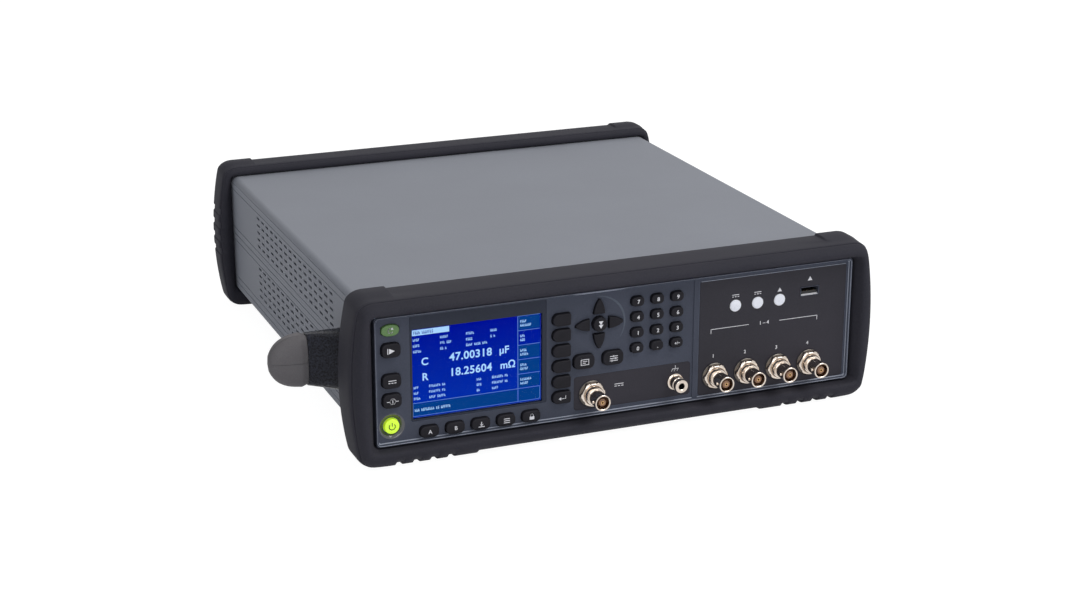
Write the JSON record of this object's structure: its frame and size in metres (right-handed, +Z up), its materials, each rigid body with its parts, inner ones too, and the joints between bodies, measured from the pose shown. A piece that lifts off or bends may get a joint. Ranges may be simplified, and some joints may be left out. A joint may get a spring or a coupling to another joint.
{
  "type": "component tester",
  "caption": "Benchtop component tester: vented metal case with rubber bumpers, colour display, spring keys, coaxial measuring jacks, cooling fan and a short side grip.",
  "frame": {"origin": "on the bench under the middle of the whole object's box", "axes": "+Z up, front panel towards -Y, +X to the right as seen from the front"},
  "size_m": [0.3796, 0.36, 0.1048],
  "materials": {
    "case_paint": "fine textured grey paint",
    "zinc_steel": "zinc plated",
    "panel_plastic": "fine texture",
    "plate_plastic": "satin",
    "window": "clear pane",
    "display": "lit blue display",
    "silicone": "matt",
    "board": "green solder mask",
    "bumper_rubber": "matt, fine grain",
    "grip_dark": "textured",
    "grip_grey": "satin",
    "nickel": "nickel plated",
    "insulator": "white",
    "lens": "milky",
    "black_plastic": "satin",
    "screw_steel": "zinc plated",
    "key_plastic": "soft satin",
    "key_green": "soft satin",
    "key_lit": "lit yellow green"
  },
  "bodies": {
    "instrument": {"case_cover": "case_paint", "chassis": "zinc_steel", "rear_panel": "zinc_steel", "front_bezel": "panel_plastic", "terminal_plates": "plate_plastic", "lcd_window": "window", "lcd_module": "display", "key_mat": "silicone", "key_board": "board", "front_bumper": "bumper_rubber", "rear_bumper": "bumper_rubber", "grip_core": "grip_dark", "grip_shells": "grip_grey", "jack_bodies": "nickel", "jack_nuts": "nickel", "jack_cores": "insulator", "ground_post": "nickel", "usb_port": "nickel", "lamp_lenses": "lens", "main_board": "board", "power_supply": "zinc_steel", "fan_frame": "black_plastic", "fan_guard": "zinc_steel", "mains_inlet": "black_plastic", "network_socket": "nickel", "usb_device_socket": "nickel", "bus_socket": "black_plastic", "trigger_jack": "nickel", "screws": "screw_steel"},
    "fan_rotor": {"fan_rotor": "black_plastic"},
    "key_preset": {"key_preset": "key_green"},
    "key_trigger": {"key_trigger": "key_plastic"},
    "key_bias": {"key_bias": "key_plastic"},
    "key_source": {"key_source": "key_plastic"},
    "key_power": {"key_power": "key_lit"},
    "key_soft_1": {"key_soft_1": "key_plastic"},
    "key_soft_2": {"key_soft_2": "key_plastic"},
    "key_soft_3": {"key_soft_3": "key_plastic"},
    "key_soft_4": {"key_soft_4": "key_plastic"},
    "key_soft_5": {"key_soft_5": "key_plastic"},
    "key_soft_6": {"key_soft_6": "key_plastic"},
    "key_low_1": {"key_low_1": "key_plastic"},
    "key_low_2": {"key_low_2": "key_plastic"},
    "key_low_3": {"key_low_3": "key_plastic"},
    "key_low_4": {"key_low_4": "key_plastic"},
    "key_low_5": {"key_low_5": "key_plastic"},
    "key_up": {"key_up": "key_plastic"},
    "key_left": {"key_left": "key_plastic"},
    "key_down": {"key_down": "key_plastic"},
    "key_right": {"key_right": "key_plastic"},
    "key_enter": {"key_enter": "key_plastic"},
    "key_function_1": {"key_function_1": "key_plastic"},
    "key_function_2": {"key_function_2": "key_plastic"},
    "key_0": {"key_0": "key_plastic"},
    "key_point": {"key_point": "key_plastic"},
    "key_sign": {"key_sign": "key_plastic"},
    "key_1": {"key_1": "key_plastic"},
    "key_2": {"key_2": "key_plastic"},
    "key_3": {"key_3": "key_plastic"},
    "key_4": {"key_4": "key_plastic"},
    "key_5": {"key_5": "key_plastic"},
    "key_6": {"key_6": "key_plastic"},
    "key_7": {"key_7": "key_plastic"},
    "key_8": {"key_8": "key_plastic"},
    "key_9": {"key_9": "key_plastic"}
  },
  "joints": [
    {"name": "key_preset_press", "type": "slide", "parent": "instrument", "child": "key_preset", "axis": [0, 1, 0], "range_m": [0, 0.0012], "stiffness_N_per_m": 600, "springref_m": -0.0005},
    {"name": "key_trigger_press", "type": "slide", "parent": "instrument", "child": "key_trigger", "axis": [0, 1, 0], "range_m": [0, 0.0012], "stiffness_N_per_m": 600, "springref_m": -0.0005},
    {"name": "key_bias_press", "type": "slide", "parent": "instrument", "child": "key_bias", "axis": [0, 1, 0], "range_m": [0, 0.0012], "stiffness_N_per_m": 600, "springref_m": -0.0005},
    {"name": "key_source_press", "type": "slide", "parent": "instrument", "child": "key_source", "axis": [0, 1, 0], "range_m": [0, 0.0012], "stiffness_N_per_m": 600, "springref_m": -0.0005},
    {"name": "key_power_press", "type": "slide", "parent": "instrument", "child": "key_power", "axis": [0, 1, 0], "range_m": [0, 0.0012], "stiffness_N_per_m": 600, "springref_m": -0.0005},
    {"name": "key_soft_1_press", "type": "slide", "parent": "instrument", "child": "key_soft_1", "axis": [0, 1, 0], "range_m": [0, 0.0012], "stiffness_N_per_m": 600, "springref_m": -0.0005},
    {"name": "key_soft_2_press", "type": "slide", "parent": "instrument", "child": "key_soft_2", "axis": [0, 1, 0], "range_m": [0, 0.0012], "stiffness_N_per_m": 600, "springref_m": -0.0005},
    {"name": "key_soft_3_press", "type": "slide", "parent": "instrument", "child": "key_soft_3", "axis": [0, 1, 0], "range_m": [0, 0.0012], "stiffness_N_per_m": 600, "springref_m": -0.0005},
    {"name": "key_soft_4_press", "type": "slide", "parent": "instrument", "child": "key_soft_4", "axis": [0, 1, 0], "range_m": [0, 0.0012], "stiffness_N_per_m": 600, "springref_m": -0.0005},
    {"name": "key_soft_5_press", "type": "slide", "parent": "instrument", "child": "key_soft_5", "axis": [0, 1, 0], "range_m": [0, 0.0012], "stiffness_N_per_m": 600, "springref_m": -0.0005},
    {"name": "key_soft_6_press", "type": "slide", "parent": "instrument", "child": "key_soft_6", "axis": [0, 1, 0], "range_m": [0, 0.0012], "stiffness_N_per_m": 600, "springref_m": -0.0005},
    {"name": "key_low_1_press", "type": "slide", "parent": "instrument", "child": "key_low_1", "axis": [0, 1, 0], "range_m": [0, 0.0012], "stiffness_N_per_m": 600, "springref_m": -0.0005},
    {"name": "key_low_2_press", "type": "slide", "parent": "instrument", "child": "key_low_2", "axis": [0, 1, 0], "range_m": [0, 0.0012], "stiffness_N_per_m": 600, "springref_m": -0.0005},
    {"name": "key_low_3_press", "type": "slide", "parent": "instrument", "child": "key_low_3", "axis": [0, 1, 0], "range_m": [0, 0.0012], "stiffness_N_per_m": 600, "springref_m": -0.0005},
    {"name": "key_low_4_press", "type": "slide", "parent": "instrument", "child": "key_low_4", "axis": [0, 1, 0], "range_m": [0, 0.0012], "stiffness_N_per_m": 600, "springref_m": -0.0005},
    {"name": "key_low_5_press", "type": "slide", "parent": "instrument", "child": "key_low_5", "axis": [0, 1, 0], "range_m": [0, 0.0012], "stiffness_N_per_m": 600, "springref_m": -0.0005},
    {"name": "key_up_press", "type": "slide", "parent": "instrument", "child": "key_up", "axis": [0, 1, 0], "range_m": [0, 0.0012], "stiffness_N_per_m": 600, "springref_m": -0.0005},
    {"name": "key_left_press", "type": "slide", "parent": "instrument", "child": "key_left", "axis": [0, 1, 0], "range_m": [0, 0.0012], "stiffness_N_per_m": 600, "springref_m": -0.0005},
    {"name": "key_down_press", "type": "slide", "parent": "instrument", "child": "key_down", "axis": [0, 1, 0], "range_m": [0, 0.0012], "stiffness_N_per_m": 600, "springref_m": -0.0005},
    {"name": "key_right_press", "type": "slide", "parent": "instrument", "child": "key_right", "axis": [0, 1, 0], "range_m": [0, 0.0012], "stiffness_N_per_m": 600, "springref_m": -0.0005},
    {"name": "key_enter_press", "type": "slide", "parent": "instrument", "child": "key_enter", "axis": [0, 1, 0], "range_m": [0, 0.0012], "stiffness_N_per_m": 600, "springref_m": -0.0005},
    {"name": "key_function_1_press", "type": "slide", "parent": "instrument", "child": "key_function_1", "axis": [0, 1, 0], "range_m": [0, 0.0012], "stiffness_N_per_m": 600, "springref_m": -0.0005},
    {"name": "key_function_2_press", "type": "slide", "parent": "instrument", "child": "key_function_2", "axis": [0, 1, 0], "range_m": [0, 0.0012], "stiffness_N_per_m": 600, "springref_m": -0.0005},
    {"name": "key_0_press", "type": "slide", "parent": "instrument", "child": "key_0", "axis": [0, 1, 0], "range_m": [0, 0.0012], "stiffness_N_per_m": 600, "springref_m": -0.0005},
    {"name": "key_point_press", "type": "slide", "parent": "instrument", "child": "key_point", "axis": [0, 1, 0], "range_m": [0, 0.0012], "stiffness_N_per_m": 600, "springref_m": -0.0005},
    {"name": "key_sign_press", "type": "slide", "parent": "instrument", "child": "key_sign", "axis": [0, 1, 0], "range_m": [0, 0.0012], "stiffness_N_per_m": 600, "springref_m": -0.0005},
    {"name": "key_1_press", "type": "slide", "parent": "instrument", "child": "key_1", "axis": [0, 1, 0], "range_m": [0, 0.0012], "stiffness_N_per_m": 600, "springref_m": -0.0005},
    {"name": "key_2_press", "type": "slide", "parent": "instrument", "child": "key_2", "axis": [0, 1, 0], "range_m": [0, 0.0012], "stiffness_N_per_m": 600, "springref_m": -0.0005},
    {"name": "key_3_press", "type": "slide", "parent": "instrument", "child": "key_3", "axis": [0, 1, 0], "range_m": [0, 0.0012], "stiffness_N_per_m": 600, "springref_m": -0.0005},
    {"name": "key_4_press", "type": "slide", "parent": "instrument", "child": "key_4", "axis": [0, 1, 0], "range_m": [0, 0.0012], "stiffness_N_per_m": 600, "springref_m": -0.0005},
    {"name": "key_5_press", "type": "slide", "parent": "instrument", "child": "key_5", "axis": [0, 1, 0], "range_m": [0, 0.0012], "stiffness_N_per_m": 600, "springref_m": -0.0005},
    {"name": "key_6_press", "type": "slide", "parent": "instrument", "child": "key_6", "axis": [0, 1, 0], "range_m": [0, 0.0012], "stiffness_N_per_m": 600, "springref_m": -0.0005},
    {"name": "key_7_press", "type": "slide", "parent": "instrument", "child": "key_7", "axis": [0, 1, 0], "range_m": [0, 0.0012], "stiffness_N_per_m": 600, "springref_m": -0.0005},
    {"name": "key_8_press", "type": "slide", "parent": "instrument", "child": "key_8", "axis": [0, 1, 0], "range_m": [0, 0.0012], "stiffness_N_per_m": 600, "springref_m": -0.0005},
    {"name": "key_9_press", "type": "slide", "parent": "instrument", "child": "key_9", "axis": [0, 1, 0], "range_m": [0, 0.0012], "stiffness_N_per_m": 600, "springref_m": -0.0005},
    {"name": "fan_spin", "type": "hinge", "parent": "instrument", "child": "fan_rotor", "pos_m": [0.07725, 0.153, 0.056], "axis": [0, 1, 0], "continuous": true}
  ]
}
